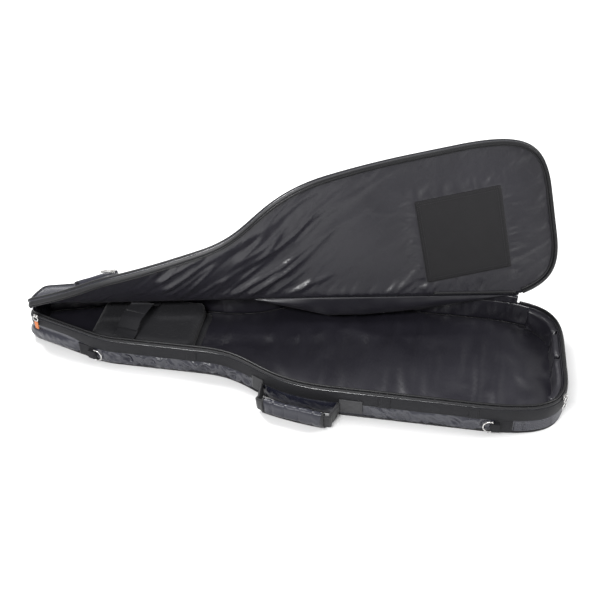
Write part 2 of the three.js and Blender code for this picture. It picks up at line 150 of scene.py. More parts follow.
class Outline:
    """The closed plan outline by distance along it: from the tip along the near side, back along the far."""

    def __init__(self, near):
        far = near[-2:0:-1] * [1, -1]
        loop = np.vstack([near, far, near[:1]])
        self.distance = lengths_along(loop)
        self.loop = loop
        self.perimeter = self.distance[-1]
        self.tail = self.perimeter / 2
        along = unit(self.centre(self.distance + 2) - self.centre(self.distance - 2))
        self.outward = np.column_stack([along[:, 1], -along[:, 0]])

    def centre(self, s):
        return at_length(np.mod(s, self.perimeter), self.distance, self.loop)

    def normal(self, s):
        return unit(at_length(np.mod(s, self.perimeter), self.distance, self.outward))

    def at(self, s, inset):
        s = np.atleast_1d(np.asarray(s, float))
        return self.centre(s) - self.normal(s) * np.asarray(inset, float).reshape(-1, 1)

    def near_station(self, x):
        near = self.distance <= self.tail
        return float(np.interp(x, self.loop[near, 0], self.distance[near]))


EDGE = Outline(near_outline())
HINGE_LINE = HINGE_TAIL - HINGE_TIP
ALONG = HINGE_LINE / np.linalg.norm(HINGE_LINE)
NEARWARD = np.array([ALONG[1], -ALONG[0]])


def hinge_coordinates(xy):
    offset = np.asarray(xy, float) - HINGE_TIP
    return offset @ ALONG, offset @ NEARWARD


def crossings():
    s = np.linspace(0, EDGE.perimeter, 4000, endpoint=False)
    side = hinge_coordinates(EDGE.at(s, 0))[1]
    change = np.nonzero((side[:-1] >= 0) != (side[1:] >= 0))[0]
    return float(s[change[0]]), float(s[change[1]])


ZIP_START, ZIP_END = crossings()


def twist_share(h):
    t = np.clip((TWIST_STARTS - h) / (TWIST_STARTS - TWIST_ENDS), 0, 1)
    return t * t * (3 - 2 * t)


def opened(points):
    """Closed lid points, turned up about the hinge line by the angle that the twisted lid has there."""
    points = np.asarray(points, float)
    h, n = hinge_coordinates(points[:, :2])
    rise = points[:, 2] - CLOSED_HEIGHT
    angle = np.radians(BODY_OPEN + (TIP_OPEN - BODY_OPEN) * twist_share(h))
    turned = n * np.cos(angle) - rise * np.sin(angle)
    height = n * np.sin(angle) + rise * np.cos(angle) + CLOSED_HEIGHT
    plan = HINGE_TIP + h[:, None] * ALONG + turned[:, None] * NEARWARD
    return np.column_stack([plan, height])


# ---------- noise ----------

def smooth_noise(points, seed):
    shift = Vector((seed * 17.3, seed * 5.1, seed * 9.7))
    return np.array([noise.noise(Vector(p) + shift) for p in np.asarray(points, float)])


def ridges(points, seed):
    return 1 - np.abs(smooth_noise(points, seed)) * 2.2


def limited(depth, low, high):
    """Depths eased off smoothly between -low and high."""
    return np.where(depth > 0, high * np.tanh(depth / high), -low * np.tanh(-depth / low))


# ---------- meshes ----------

def mesh_object(name, points, faces, materials, face_materials=None):
    data = bpy.data.meshes.new(name)
    data.from_pydata((np.asarray(points, float) * MM).tolist(), [], faces)
    for m in materials if isinstance(materials, (list, tuple)) else [materials]:
        data.materials.append(m)
    if face_materials is not None:
        data.polygons.foreach_set("material_index", face_materials)
    work = bmesh.new()
    work.from_mesh(data)
    bmesh.ops.recalc_face_normals(work, faces=work.faces)
    work.to_mesh(data)
    work.free()
    data.polygons.foreach_set("use_smooth", [True] * len(data.polygons))
    obj = bpy.data.objects.new(name, data)
    bpy.context.scene.collection.objects.link(obj)
    return obj


def loft_faces(rows, columns, closed_run):
    last = rows if closed_run else rows - 1
    faces = []
    for i in range(last):
        j = (i + 1) % rows
        for k in range(columns):
            m = (k + 1) % columns
            faces.append((i * columns + k, j * columns + k, j * columns + m, i * columns + m))
    if not closed_run:
        faces.append(tuple(range(columns)))
        faces.append(tuple((rows - 1) * columns + k for k in range(columns)))
    return faces


def loft(name, sections, material, closed_run=False):
    """A closed solid through rows of section points, an array of rows by columns by three."""
    sections = np.asarray(sections, float)
    rows, columns = sections.shape[:2]
    return mesh_object(name, sections.reshape(-1, 3), loft_faces(rows, columns, closed_run), material)


def edge_loft(name, stations, section, material, closed_run=False):
    return loft(name, along_outline(stations, section), material, closed_run)


def repeated(section, count):
    return np.tile(section, (count, 1, 1))


def along_outline(stations, section):
    """Section rows along the outline: section gives (inset, height) columns, or one set for every station."""
    section = np.asarray(section, float)
    if section.ndim == 2:
        section = repeated(section, len(stations))
    base, out = EDGE.centre(stations), EDGE.normal(stations)
    plan = base[:, None, :] - out[:, None, :] * section[:, :, :1]
    return np.concatenate([plan, section[:, :, 1:]], axis=2)


def run(start, end, step):
    return np.linspace(start, end, max(2, int(round((end - start) / step)) + 1))


def around(step):
    return np.linspace(0, EDGE.perimeter, int(EDGE.perimeter / step), endpoint=False)


def circle(inset, height, radius, count=10):
    turn = full_turn(count)
    return np.column_stack([inset + radius * np.cos(turn), height + radius * np.sin(turn)])


def rounded_box(low, high, radius, count=3):
    """Corner arcs of a rectangle from low to high, as (first, second) points in turn."""
    corners = [(high[0], high[1], 0), (low[0], high[1], 1), (low[0], low[1], 2), (high[0], low[1], 3)]
    points = []
    for x, y, quarter in corners:
        cx = x - radius if x == high[0] else x + radius
        cy = y - radius if y == high[1] else y + radius
        for k in range(count + 1):
            a = (quarter + k / count) * math.pi / 2
            points.append((cx + radius * math.cos(a), cy + radius * math.sin(a)))
    return np.array(points)


def tube(name, path, radius, material, sides=10, closed_run=False):
    """A round tube along a 3-D path, with the frame carried along it."""
    path = np.asarray(path, float)
    if closed_run:
        ahead = np.roll(path, -1, axis=0) - np.roll(path, 1, axis=0)
    else:
        ahead = np.gradient(path, axis=0)
    ahead = unit(ahead)
    side = np.cross(ahead[0], (0, 0, 1) if abs(ahead[0][2]) < 0.9 else (1, 0, 0))
    rows = []
    turn = full_turn(sides)
    for point, forward in zip(path, ahead):
        side = side - forward * (side @ forward)
        side /= np.linalg.norm(side)
        up = np.cross(forward, side)
        ring = np.outer(np.cos(turn), side) + np.outer(np.sin(turn), up)
        rows.append(point + radius * ring)
    return loft(name, rows, material, closed_run)


def joined(name, objects):
    """One object from several; the first one's settings stay."""
    work = bmesh.new()
    keep = objects[0]
    offset = 0
    for obj in objects:
        for m in obj.data.materials:
            if m.name not in keep.data.materials:
                keep.data.materials.append(m)
    for obj in objects:
        indices = [keep.data.materials.find(m.name) for m in obj.data.materials]
        work.from_mesh(obj.data)
        work.faces.ensure_lookup_table()
        for face in work.faces[offset:]:
            face.material_index = indices[face.material_index]
        offset = len(work.faces)
    work.to_mesh(keep.data)
    work.free()
    for obj in objects[1:]:
        bpy.data.objects.remove(obj)
    keep.name = keep.data.name = name
    return keep


def stitches(name, path, outward, material, pitch=4.2, length=2.9, radius=0.42):
    """Short thread lengths along a path; outward lifts each one's middle off the cloth."""
    path = np.asarray(path, float)
    distance = lengths_along(path)
    points, faces = [], []
    for start in np.arange(pitch / 2, distance[-1] - length, pitch):
        spots = at_length([start, start + length / 2, start + length], distance, path)
        lift = at_length([start], distance, outward)[0]
        forward = spots[2] - spots[0]
        forward /= np.linalg.norm(forward)
        side = np.cross(forward, lift)
        side /= max(np.linalg.norm(side), 1e-9)
        first = len(points)
        points += [spots[0], spots[2]]
        middle = spots[1] + lift * radius * 0.6
        points += [middle + reach * radius for reach in (side, lift, -side, -lift)]
        for k in range(4):
            a, b = first + 2 + k, first + 2 + (k + 1) % 4
            faces += [(first, a, b), (first + 1, b, a)]
    return mesh_object(name, points, faces, material)


def inside(points, polygon):
    x, y = points[:, 0], points[:, 1]
    result = np.zeros(len(points), bool)
    for (x0, y0), (x1, y1) in zip(polygon, np.roll(polygon, -1, axis=0)):
        if y0 == y1:
            continue
        crosses = (y0 > y) != (y1 > y)
        result ^= crosses & (x < (x1 - x0) * (y - y0) / (y1 - y0) + x0)
    return result


def edge_distance(points, polygon):
    best = np.full(len(points), 1e9)
    for a, b in zip(polygon, np.roll(polygon, -1, axis=0)):
        ab = b - a
        t = np.clip(((points - a) @ ab) / max(ab @ ab, 1e-9), 0, 1)
        best = np.minimum(best, np.linalg.norm(points - (a + t[:, None] * ab), axis=1))
    return best


def border_distance(flat, border):
    """How far each point of a region is from its border; 0 on the border itself."""
    away = edge_distance(flat, flat[:border])
    away[:border] = 0
    return away


def resampled(polygon, spacing):
    loop = np.vstack([polygon, polygon[:1]])
    distance = lengths_along(loop)
    s = np.linspace(0, distance[-1], int(distance[-1] / spacing), endpoint=False)
    return at_length(s, distance, loop)


def region(polygon, spacing):
    """An even triangle mesh that fills a plan polygon: points, triangles and how many points are boundary."""
    border = resampled(np.asarray(polygon, float), spacing)
    low, high = border.min(0), border.max(0)
    rows = np.arange(low[1], high[1], spacing * 0.866)
    grid = []
    for i, y in enumerate(rows):
        x = np.arange(low[0] + (i % 2) * spacing / 2, high[0], spacing)
        grid.append(np.column_stack([x, np.full(len(x), y)]))
    grid = np.vstack(grid)
    grid = grid[inside(grid, border)]
    grid = grid[edge_distance(grid, border) > spacing * 0.6]
    points = np.vstack([border, grid])
    count = len(border)
    edges = [(i, (i + 1) % count) for i in range(count)]
    out = delaunay_2d_cdt([Vector(p) for p in points], edges, [], 1, 1e-6)
    flat = np.array([tuple(p) for p in out[0]])
    return flat, [tuple(face) for face in out[2]], count


def pad_mesh(triangles, border, top, bottom, side_rows=2, bulge=1.5):
    """Points, faces and face kinds of a closed pad between two surfaces over one plan mesh."""
    count = len(top)
    middle = (top[:border] + bottom[:border]) / 2
    tangent = np.roll(middle, -1, axis=0) - np.roll(middle, 1, axis=0)
    out = unit(np.cross(tangent, top[:border] - bottom[:border]))
    probe = middle + out * 0.5
    turned = inside(probe[:, :2], middle[:, :2])
    out *= np.where(turned.mean() > 0.5, -1, 1)
    points = [top, bottom]
    faces = list(triangles) + [tuple(count + i for i in reversed(face)) for face in triangles]
    kinds = [0] * len(triangles) + [1] * len(triangles)
    previous = list(range(border))
    for r in range(1, side_rows + 2):
        t = r / (side_rows + 1)
        if r <= side_rows:
            row = top[:border] * (1 - t) + bottom[:border] * t + out * bulge * math.sin(math.pi * t)
            points.append(row)
            current = [2 * count + (r - 1) * border + i for i in range(border)]
        else:
            current = [count + i for i in range(border)]
        for i in range(border):
            j = (i + 1) % border
            faces.append((previous[i], previous[j], current[j], current[i]))
        kinds += [0] * border
        previous = current
    return np.vstack(points), faces, kinds


def raised(flat, height):
    return np.column_stack([flat, np.broadcast_to(height, len(flat))])


def capped(points, soft, limit):
    """The soft points, none of them further than the limit from where it started."""
    shift = soft - points
    size = np.linalg.norm(shift, axis=1)
    return points + shift * np.minimum(1, limit / np.maximum(size, 1e-6))[:, None]


def cushion(name, polygon, low, high, materials, spacing=8, slack=0.03, pressure=1.5, limit=3.5, edge=6):
    """A stuffed pad over a plan polygon: its cover is cloth, blown up a little and held at its back."""
    flat, triangles, border = region(polygon, spacing)
    away = border_distance(flat, border)
    dip = edge * (1 - np.clip(away / (edge * 2.2), 0, 1)) ** 2
    top, bottom = raised(flat, high - dip), raised(flat, np.full(len(flat), float(low)))
    side_rows = max(2, int((high - low) / spacing))
    points, faces, _ = pad_mesh(triangles, border, top, bottom, side_rows, bulge=1.0)
    points[: len(flat), 2] += 0.5 * smooth_noise(raised(flat, low) / 30, SEED)
    pinned = range(len(flat), 2 * len(flat))
    blown = draped(points, faces, pinned, slack, 14, gravity=0.3, pressure=pressure)
    return mesh_object(name, capped(points, blown, limit), faces, materials)


# ---------- cloth ----------

def draped(points, faces, pinned, slack, frames, stiffness=5.0, bending=0.5, gravity=1.0, pressure=0.0):
    """The points after a cloth simulation with the pinned ones held; slack is the spare cloth as a share."""
    obj = mesh_object("cloth_work", points, faces, [])
    group = obj.vertex_groups.new(name="held")
    group.add([int(i) for i in pinned], 1.0, "REPLACE")
    cloth = obj.modifiers.new("Cloth", "CLOTH")
    settings = cloth.settings
    settings.quality = 5
    settings.mass = 0.2
    settings.tension_stiffness = settings.compression_stiffness = stiffness
    settings.shear_stiffness = stiffness
    settings.bending_stiffness = bending
    settings.air_damping = 3
    settings.vertex_group_mass = "held"
    settings.shrink_min = settings.shrink_max = -slack
    settings.effector_weights.gravity = gravity
    if pressure:
        settings.use_pressure = True
        settings.uniform_pressure_force = pressure
    cloth.collision_settings.use_collision = False
    cloth.point_cache.frame_start = 1
    cloth.point_cache.frame_end = frames
    scene = bpy.context.scene
    for f in range(1, frames + 1):
        scene.frame_set(f)
    evaluated = obj.evaluated_get(bpy.context.evaluated_depsgraph_get())
    result = np.zeros(len(evaluated.data.vertices) * 3)
    evaluated.data.vertices.foreach_get("co", result)
    bpy.data.objects.remove(obj)
    scene.frame_set(1)
    return result.reshape(-1, 3) / MM


# ---------- materials ----------

class Nodes:
    """A short way to add and link shader nodes."""

    def __init__(self, material):
        material.use_nodes = True
        self.tree = material.node_tree
        self.shader = self.tree.nodes["Principled BSDF"]

    def add(self, kind, inputs=None, **settings):
        node = self.tree.nodes.new(kind)
        for key, value in settings.items():
            setattr(node, key, value)
        for key, value in (inputs or {}).items():
            self.put(node.inputs[key], value)
        return node

    def put(self, socket, value):
        if isinstance(value, bpy.types.NodeSocket):
            self.tree.links.new(value, socket)
        else:
            socket.default_value = value

    def math(self, operation, a, b=0.0):
        return self.add("ShaderNodeMath", {0: a, 1: b}, operation=operation).outputs[0]

    def noise(self, place, scale, detail=3.0, distortion=0.0):
        inputs = {"Vector": place, "Scale": scale, "Detail": detail, "Distortion": distortion}
        return self.add("ShaderNodeTexNoise", inputs).outputs["Fac"]

    def spread(self, value, low, high):
        inputs = {"Value": value, "To Min": low, "To Max": high}
        return self.add("ShaderNodeMapRange", inputs).outputs[0]

    def mix(self, factor, dark, light):
        node = self.add("ShaderNodeMix", {"Factor": factor}, data_type="RGBA")
        for name, tone in (("A", dark), ("B", light)):
            socket = next(i for i in node.inputs if i.type == "RGBA" and i.name == name)
            socket.default_value = (*tone, 1)
        return next(o for o in node.outputs if o.type == "RGBA")

    def bands(self, place, period, direction):
        inputs = {"Vector": place, "Scale": 0.3142 / (period * MM)}
        return self.add("ShaderNodeTexWave", inputs, bands_direction=direction).outputs["Fac"]

    def bump(self, height, strength, distance, normal=None):
        inputs = {"Height": height, "Strength": strength, "Distance": distance * MM}
        if normal is not None:
            inputs["Normal"] = normal
        return self.add("ShaderNodeBump", inputs).outputs["Normal"]


def fabric(
    name, dark, light, roughness, sheen=0.0, thread=0.9, weave=0.35,
    crinkle=0.0, crinkle_size=14.0, wear=0.0, gloss=0.5,
):
    """Woven cloth: colour that drifts between two tones, a fine weave and soft creases."""
    material = bpy.data.materials.new(name)
    n = Nodes(material)
    place = n.add("ShaderNodeTexCoord").outputs["Object"]
    drift = n.noise(place, 9.0, 4.0, 0.4)
    fine = n.noise(place, 420.0, 2.0)
    tone = n.math("ADD", n.math("MULTIPLY", drift, 0.75), n.math("MULTIPLY", fine, 0.25 + wear))
    n.put(n.shader.inputs["Base Color"], n.mix(tone, dark, light))
    n.put(n.shader.inputs["Roughness"], n.spread(drift, roughness - 0.06, roughness + 0.08))
    warp = n.math("MAXIMUM", n.bands(place, thread, "X"), n.bands(place, thread, "Y"))
    weft = n.math("MULTIPLY", warp, n.bands(place, thread, "Z"))
    normal = n.bump(n.math("ADD", weft, n.math("MULTIPLY", fine, 0.6)), weave, 0.12)
    if crinkle:
        fold = n.noise(place, 1 / (crinkle_size * MM), 2.5, 1.2)
        swing = n.math("SUBTRACT", n.math("MULTIPLY", fold, 4.0), 2.0)
        peak = n.math("SUBTRACT", 1.0, n.math("ABSOLUTE", swing))
        normal = n.bump(n.math("ADD", fold, n.math("MULTIPLY", peak, 0.3)), 1.0, crinkle, normal)
    n.put(n.shader.inputs["Normal"], normal)
    n.shader.inputs["Specular IOR Level"].default_value = gloss
    n.shader.inputs["Sheen Weight"].default_value = sheen
    n.shader.inputs["Sheen Roughness"].default_value = 0.4
    return material


def metal(name, colour, roughness):
    material = bpy.data.materials.new(name)
    n = Nodes(material)
    place = n.add("ShaderNodeTexCoord").outputs["Object"]
    wear = n.noise(place, 300.0, 4.0)
    n.put(n.shader.inputs["Roughness"], n.spread(wear, roughness * 0.7, roughness * 1.5))
    n.put(n.shader.inputs["Normal"], n.bump(wear, 0.15, 0.08))
    n.shader.inputs["Base Color"].default_value = (*colour, 1)
    n.shader.inputs["Metallic"].default_value = 1.0
    return material


NYLON = fabric(
    "outer_nylon", (0.008, 0.0085, 0.015), (0.02, 0.021, 0.035), 0.26,
    sheen=0.03, thread=0.7, weave=0.2, crinkle=0.5, crinkle_size=34, gloss=0.85,
)
SMOOTH_NYLON = fabric(
    "padded_nylon", (0.009, 0.0095, 0.016), (0.018, 0.019, 0.031), 0.36,
    sheen=0.04, thread=0.7, weave=0.2, crinkle=0.25, crinkle_size=30, gloss=0.5,
)
LINING = fabric(
    "lining_satin", (0.007, 0.0065, 0.01), (0.017, 0.016, 0.023), 0.37,
    sheen=0.03, thread=0.6, weave=0.12, crinkle=0.35, crinkle_size=34, gloss=0.65,
)
WEBBING = fabric(
    "webbing", (0.0015, 0.0015, 0.002), (0.017, 0.017, 0.02), 0.72,
    sheen=0.08, thread=2.4, weave=1.0, wear=0.25, gloss=0.25,
)
GREY_WEBBING = fabric(
    "grey_webbing", (0.03, 0.03, 0.032), (0.07, 0.07, 0.073), 0.75,
    sheen=0.12, thread=1.6, weave=0.9, gloss=0.3,
)
BINDING = fabric(
    "binding_tape", (0.004, 0.004, 0.005), (0.012, 0.012, 0.014), 0.55,
    sheen=0.1, weave=0.5, gloss=0.4,
)
COIL = fabric("zip_coil", (0.004, 0.004, 0.005), (0.01, 0.01, 0.011), 0.35, weave=0.1)
PADDING = fabric(
    "pad_cloth", (0.005, 0.005, 0.006), (0.014, 0.014, 0.017), 0.7,
    sheen=0.15, thread=1.2, weave=0.6, crinkle=1.0, crinkle_size=16, gloss=0.35,
)
PATCH = fabric(
    "patch_cloth", (0.013, 0.0125, 0.0135), (0.022, 0.0215, 0.023), 0.85,
    sheen=0.1, thread=1.3, weave=0.9, gloss=0.25,
)
LIGHT_THREAD = fabric("light_thread", (0.12, 0.12, 0.14), (0.25, 0.25, 0.28), 0.5, weave=0.2)
THREAD = fabric("thread", (0.012, 0.012, 0.014), (0.04, 0.04, 0.045), 0.5, weave=0.2)
LEATHER = fabric(
    "tag_leather", (0.42, 0.1, 0.02), (0.62, 0.19, 0.045), 0.5,
    weave=0.05, crinkle=0.3, crinkle_size=2,
)
RUBBER = fabric("badge_rubber", (0.008, 0.008, 0.009), (0.014, 0.014, 0.015), 0.6, weave=0.1)
NICKEL = metal("nickel", (0.62, 0.61, 0.6), 0.22)


# ---------- riding ----------

def described(piece, slot, *nodes):
    if nodes:
        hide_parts(*nodes)
    return piece


def riding(piece, body, slot, *nodes):
    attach(piece, body)
    return described(piece, slot, *nodes)


def tray(piece, slot, *nodes):
    return riding(piece, "tray", slot, *nodes)


def moved(piece, change):
    """The piece with its points sent through a function that works in millimetres."""
    co = np.array([v.co[:] for v in piece.data.vertices]) / MM
    piece.data.vertices.foreach_set("co", (change(co) * MM).ravel())
    piece.data.update()
    return piece


def lid(piece, slot, *nodes):
    """Turns a closed lid piece up to its rest pose and lets it twist between the lid's two ends."""
    moved(piece, opened)
    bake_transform(piece)
    return described(piece, slot, *nodes)


LID_PLACES = ("tip", "neck", "shoulder", "body")

# ---------- tray: base, walls and rim ----------

HANDLE_ENDS = (-34, 130)
ANCHOR_LENGTHS = (28, 48)
BAND_BODY = EDGE.near_station(464)
BAND_NECK = EDGE.near_station(-446)
GUARD_START = EDGE.near_station(486)
ANCHORS = {
    "left": (EDGE.near_station(HANDLE_ENDS[0]) - ANCHOR_LENGTHS[0], EDGE.near_station(HANDLE_ENDS[0])),
    "right": (EDGE.near_station(HANDLE_ENDS[1]), EDGE.near_station(HANDLE_ENDS[1]) + ANCHOR_LENGTHS[1]),
}
COVERED = [
    *ANCHORS.values(),
    (BAND_BODY - 18, BAND_BODY + 18),
    (BAND_NECK - 20, BAND_NECK + 20),
    (GUARD_START, EDGE.perimeter - GUARD_START),
]


def smoothstep(x, low, high):
    t = np.clip((np.asarray(x, float) - low) / (high - low), 0, 1)
    return t * t * (3 - 2 * t)


def uncovered(stations, fade=16):
    """1 on open wall, fading to 0 under the pieces that are sewn flat onto it."""
    share = np.ones(len(stations))
    for start, end in COVERED:
        outside = np.maximum(start - stations, stations - end)
        share = np.minimum(share, smoothstep(outside, 0, fade))
    return share


def on_wall(stations, heights, period):
    """Noise points over a wall, one for each station and height, so that the noise meets itself all round."""
    plan = EDGE.centre(stations)
    plan = np.repeat(plan, len(heights), axis=0)
    return np.column_stack([plan, np.tile(heights, len(stations))]) / period


def wall_section(outer, outer_z, inner, inner_z):
    """A wall's section at each station: its face from the bottom up, then its back from the top down."""
    front = np.stack([outer, np.broadcast_to(outer_z, outer.shape)], axis=2)
    back = np.stack([inner, np.broadcast_to(inner_z, inner.shape)], axis=2)
    return np.concatenate([front, back], axis=1)


SINK = 16


def sagged(points):
    """Far pieces above the walls: near the tip the closed front sinks towards its far edge."""
    points = np.array(points, float)
    beyond = -hinge_coordinates(points[:, :2])[1]
    share = (1 - smoothstep(points[:, 0], -480, -385)) * smoothstep(beyond, 10, 90)
    points[:, 2] -= SINK * share * smoothstep(points[:, 2], 60, 90)
    return points


def sag(piece):
    return moved(piece, sagged)


def make_wall_shell():
    stations = around(2.8)
    z = np.concatenate([np.linspace(1.5, 36.5, 16), [46, 56, 65.4]])
    x = EDGE.centre(stations)[:, 0]
    rough = 0.35 + 0.65 * smoothstep(x, -430, -390) * (1 - smoothstep(x, -90, -40))
    rough = rough + 0.25 * smoothstep(x, 150, 260)
    slant = on_wall(stations, z, 1)
    slant[:, 0] += 0.7 * slant[:, 2]
    puckers = ridges(slant / [17, 17, 26], 1).reshape(len(stations), -1)
    ripples = ridges(slant / [36, 36, 60], 2).reshape(len(stations), -1)
    tip_share = 1 - smoothstep(x, -520, -455)
    rise = np.clip((z - z[0]) / (36 - z[0]), 0, 1)
    swell = np.sin(np.pi * np.minimum(rise, 1)) ** 0.6 * (z < 37)
    open_wall = uncovered(stations)[:, None]
    ease = 3.6 + 4.4 * tip_share[:, None] + rough[:, None] * (7.4 * puckers + 3.4 * ripples - 4.8)
    outward = swell * open_wall * ease
    outward = outward - 3.0 * (1 - rise) ** 3
    inner_z = np.array([65.4, 40, 8])
    inner = np.full((len(stations), 3), 9.6)
    section = wall_section(1.9 - outward, z, inner, inner_z)
    return tray(
        edge_loft("wall_shell", stations, section, NYLON, True), "outer_nylon",
        "wall_tip", "wall_near", "wall_tail", "wall_far",
    )


def make_lining(name, stations, low, high, closed_run):
    z = np.linspace(low, high, int((high - low) / 3.6))
    folds = smooth_noise(on_wall(stations, z, 26) * [1, 1, 0.55], 3).reshape(len(stations), -1)
    pleats = ridges(on_wall(stations, z, 15) * [1, 1, 0.25], 4).reshape(len(stations), -1)
    held = np.sin(np.pi * np.clip((z - low) / (high - low), 0, 1)) * 0.75 + 0.25
    front = 11.4 + held * (2.2 * folds + 1.3 * pleats)
    back = np.full((len(stations), 2), 9.9)
    section = wall_section(front, z, back, np.array([high, low]))
    return edge_loft(name, stations, section, LINING, closed_run)


wall_shell = make_wall_shell()
tray(make_lining("wall_lining", around(4), 12.5, 68, True), "lining_satin")

far_run = run(ZIP_END + 3, ZIP_START + EDGE.perimeter - 3, 3.6)
far_gusset = edge_loft("far_gusset", far_run, rounded_box((1.9, 66), (10, 87), 2), NYLON)
tray(sag(far_gusset), "outer_nylon", "gusset_upper_far")
tray(sag(make_lining("far_lining", far_run, 66.5, 87.5, False)), "lining_satin")


def make_base_panel():
    flat, triangles, border = region(EDGE.at(around(7), 5), 14)
    points, faces, _ = pad_mesh(triangles, border, raised(flat, BASE_TOP), raised(flat, 0.0), 3, 1.6)
    return mesh_object("base_panel", points, faces, NYLON)


base_panel = tray(make_base_panel(), "outer_nylon", "back_panel")
base_piping = edge_loft("base_piping_bead", around(4), circle(3.6, 2.7, 2.4), BINDING, True)
tray(base_piping, "webbing", "base_piping")


def make_floor_pad():
    flat, triangles, border = region(EDGE.at(around(8), 12.6), 9)
    start = raised(flat, 13.6)
    folds = np.clip(ridges(raised(flat, 0) * [1 / 42, 1 / 210, 0], 11), 0, 1) ** 1.6
    start[:, 2] += 5.2 * folds - 0.8 + 1.2 * smooth_noise(raised(flat, 0) / 50, 25)
    start[:border, 2] = 13.6
    soft = draped(start, triangles, range(border), 0.004, 16, stiffness=12, bending=1.5, gravity=0.0)
    open_floor = smoothstep(flat[:, 0], -215, -150)
    top = raised(flat, FLOOR_TOP + limited(soft[:, 2] - FLOOR_TOP, 2.5, 2.2 + 3.6 * open_floor))
    points, faces, _ = pad_mesh(triangles, border, top, raised(flat, 10.4), 1, 0.6)
    return mesh_object("floor_pad", points, faces, LINING)


floor_pad = tray(make_floor_pad(), "lining_satin", "floor_lining")


def make_rim_band():
    stations = around(4)
    wave = 0.35 * smooth_noise(raised(EDGE.centre(stations) / 40, 0), 5)
    box = rounded_box((0.0, WEBBING_BOTTOM), (1.7, WEBBING_TOP), 0.7, 2)
    section = repeated(box, len(stations))
    section[:, :, 0] -= wave[:, None]
    lift = 9 * (1 - smoothstep(EDGE.centre(stations)[:, 0], -500, -430))
    height_share = (section[:, :, 1] - WEBBING_BOTTOM) / (WEBBING_TOP - WEBBING_BOTTOM)
    section[:, :, 1] += lift[:, None] * (1 - height_share)
    return edge_loft("rim_band", stations, section, WEBBING, True)


tray(make_rim_band(), "webbing", "rim_webbing")

zip_run = run(ZIP_START + 2, ZIP_END - 2, 4)


def edge_stitches(name, start, end, inset, height, pitch=4.4):
    stations = run(start, end, 5)
    path = raised(EDGE.at(stations, inset), float(height))
    return stitches(name, path, raised(EDGE.normal(stations), 0.0), THREAD, pitch)


past_tip = EDGE.near_station(-428)
rim_rows = [
    edge_stitches("low_row", past_tip, EDGE.perimeter - past_tip, -0.25, 38.5),
    edge_stitches("high_row", 0.5, EDGE.perimeter - 0.5, -0.25, 63),
]
tray(joined("rim_stitches", rim_rows), "webbing")


def band_overlap(x, length):
    start = EDGE.near_station(x)
    section = rounded_box((-1.2, WEBBING_BOTTOM + 0.4), (0.6, WEBBING_TOP - 0.4), 0.6, 2)
    plate = edge_loft("overlap", run(start, start + length, 3), section, WEBBING)
    rows = []
    for offset in (3, 6, length - 4):
        path = raised(np.tile(EDGE.at([start + offset], -1.35), (12, 1)), np.linspace(39, 62, 12))
        outward = np.tile([*EDGE.normal([start + offset])[0], 0], (12, 1))
        rows.append(stitches("row", path, outward, THREAD, 3.6))
    return [plate, *rows]


overlaps = [piece for x, length in ((-212, 22), (210, 24), (392, 20)) for piece in band_overlap(x, length)]
tray(joined("rim_band_overlaps", overlaps), "webbing")

tray(edge_loft("rim_cord", zip_run, circle(3.6, 68.4, 2.6), BINDING), "webbing", "rim_piping")
zip_tape = edge_loft("zip_tape", zip_run, rounded_box((6.1, 64), (7.9, 72.2), 0.6, 2), BINDING)
tray(zip_tape, "zip_coil", "zip_tape_lower")


def make_coil(name, start, end, low, high):
    """A moulded coil: one loop every 2.4 mm, as a ribbed strip that follows the outline."""
    stations = run(start, end, 1.2)
    box = rounded_box((low[0], low[1]), (high[0], high[1]), 0.9, 2)
    centre = box.mean(0)
    section = repeated(box, len(stations))
    section[::2] = centre + (box - centre) * [0.72, 0.6]
    return edge_loft(name, stations, section, COIL)


tray_coil = make_coil("zip_coil_tray", ZIP_START + 3, ZIP_END - 3, (4.8, 72.0), (9.2, 75.0))
tray(tray_coil, "zip_coil", "zip_coil_lower")

# ---------- front strip beyond the fold ----------


def hinge_row(start, end, near, height, step=8):
    h = run(start, end, step)
    return raised(HINGE_TIP + h[:, None] * ALONG + near * NEARWARD, float(height))


def front_polygon(stations, inset, near, sign):
    edge = EDGE.at(stations, inset)
    side = hinge_coordinates(edge)[1] * sign
    edge = edge[side > abs(near) + 0.5]
    first, last = hinge_coordinates(edge[[0, -1]])[0]
    ends = np.array([HINGE_TIP + h * ALONG + near * NEARWARD for h in (last, first)])
    return np.vstack([edge, ends])


def make_front_strip():
    polygon = front_polygon(run(ZIP_END, ZIP_START + EDGE.perimeter, 7), 1.6, -0.8, -1)
    flat, triangles, border = region(polygon, 10)
    away = border_distance(flat, border)
    lift = 1.6 * smoothstep(away, 0, 30)
    lift += 1.2 * smooth_noise(raised(flat, 0) / 45, 6) * smoothstep(away, 0, 20)
    dip = 1.5 * smoothstep(away, 0, 25)
    dip += 1.5 * smooth_noise(raised(flat, 0) / 30, 7) * smoothstep(away, 0, 15)
    top, bottom = raised(flat, 93.5 + lift), raised(flat, 87.4 - dip)
    points, faces, kinds = pad_mesh(triangles, border, top, bottom, 2, 0.8)
    return mesh_object("front_strip", points, faces, [NYLON, LINING], kinds)


front_strip = tray(sag(make_front_strip()), "outer_nylon", "front_panel_strip")
front_piping = edge_loft("front_piping", far_run, circle(1.8, 92.4, 2.8), BINDING)
tray(sag(front_piping), "webbing")
hinge_length = float(hinge_coordinates(EDGE.at([ZIP_END], 0))[0][0])
tray(tube("fold_cord", hinge_row(0, hinge_length - 6, -1.9, 93.0), 1.6, NYLON, 8), "outer_nylon")

# ---------- lid ----------


def lid_polygon():
    return front_polygon(run(ZIP_START, ZIP_END, 6), 1.8, 0.8, 1)


PATCH_LOW, PATCH_HIGH = np.array([293.0, -80.0]), np.array([483.0, 108.0])
FOLD_LEAN = math.radians(33)
STRAP_X = -346.0


